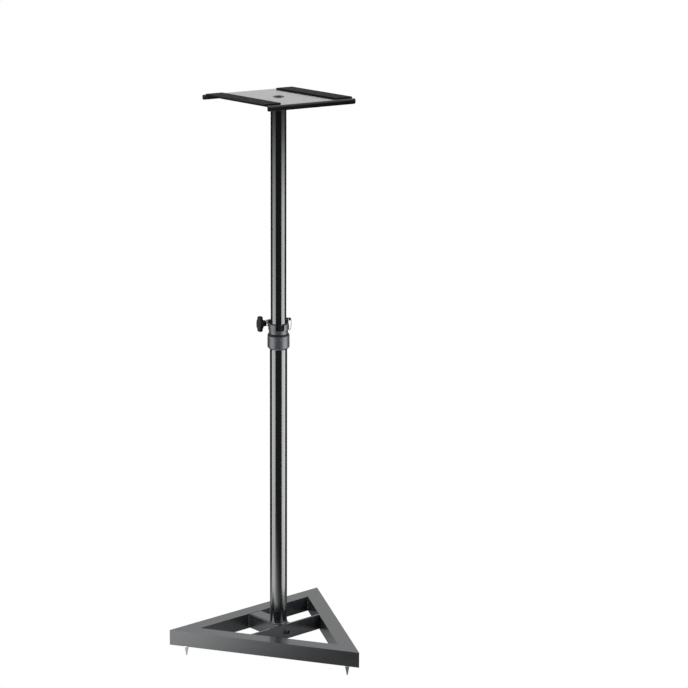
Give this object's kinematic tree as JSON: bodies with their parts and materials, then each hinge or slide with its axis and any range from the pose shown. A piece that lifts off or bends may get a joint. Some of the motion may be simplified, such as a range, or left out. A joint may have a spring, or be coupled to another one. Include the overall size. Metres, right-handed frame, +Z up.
{
  "type": "speaker stand",
  "caption": "Height-adjustable speaker stand: triangular tube base on spikes, telescopic pole with hand clamp and safety pin, and a carrier plate with ribbed rubber strips.",
  "frame": {"origin": "on the floor under the spikes' tips, in the middle of the outer box seen from above; the pole's axis is 67.8 mm behind it", "axes": "+Z up along the pole, +Y towards the base's rear bar, so the base's front corner points along -Y, and +X to the right when seen from the front corner"},
  "size_m": [0.4494, 0.4068, 1.2704],
  "materials": {
    "coat": "semi-gloss black powder coat",
    "gloss": "glossy black lacquer",
    "sleeve": "satin dark grey",
    "plastic": "black moulded plastic",
    "rubber": "ribbed black rubber",
    "steel": "bright plated steel",
    "zinc": "black zinc"
  },
  "bodies": {
    "base": {"rear_bar": "coat", "left_bar": "coat", "right_bar": "coat", "centre_arm": "coat", "arm_end_plug": "zinc", "cross_bar": "coat", "cross_bar_washer": "steel", "cross_bar_bolt": "steel", "spike_insert_left": "zinc", "spike_insert_right": "zinc", "spike_insert_front": "zinc", "spike_nut_left": "zinc", "spike_nut_right": "zinc", "spike_nut_front": "zinc", "lower_tube": "gloss", "tube_foot_plug": "zinc", "foot_washer": "steel", "foot_bolt": "steel", "clutch_sleeve": "sleeve", "sleeve_cap": "plastic", "guide_liner": "plastic", "clamp_ring": "gloss", "clamp_liner": "plastic", "clamp_nut": "steel", "clamp_washer": "steel", "pin_bracket": "gloss", "bracket_screw": "steel"},
    "slider": {"guide_bush": "plastic"},
    "mast": {"upper_tube": "gloss", "top_flange": "coat", "top_plate": "gloss", "plate_washer": "zinc", "plate_bolt": "zinc", "left_strip": "rubber", "right_strip": "rubber"},
    "knob": {"clamp_screw": "steel", "clamp_knob": "plastic"},
    "pin": {"safety_pin": "steel", "pin_head": "plastic"},
    "left_spike_body": {"spike_left": "steel"},
    "right_spike_body": {"spike_right": "steel"},
    "front_spike_body": {"spike_front": "steel"}
  },
  "joints": [
    {"name": "height", "type": "slide", "parent": "base", "child": "slider", "axis": [0, 0, 1], "range_m": [-0.416, 0.104]},
    {"name": "swivel", "type": "hinge", "parent": "slider", "child": "mast", "pos_m": [0, 0.06778, 0.56], "axis": [0, 0, 1], "continuous": true},
    {"name": "clamp_turn", "type": "hinge", "parent": "base", "child": "knob", "pos_m": [-0.0306, 0.09508, 0.7603], "axis": [-1, 0, 0], "range_deg": [0, 450]},
    {"name": "pin_push", "type": "slide", "parent": "base", "child": "pin", "axis": [-0.9951, 0.0993, 0], "range_m": [0, 0.0028]},
    {"name": "left_spike_level", "type": "slide", "parent": "base", "child": "left_spike_body", "axis": [0, 0, -1], "range_m": [0, 0.01]},
    {"name": "right_spike_level", "type": "slide", "parent": "base", "child": "right_spike_body", "axis": [0, 0, -1], "range_m": [0, 0.01]},
    {"name": "front_spike_level", "type": "slide", "parent": "base", "child": "front_spike_body", "axis": [0, 0, -1], "range_m": [0, 0.01]}
  ]
}
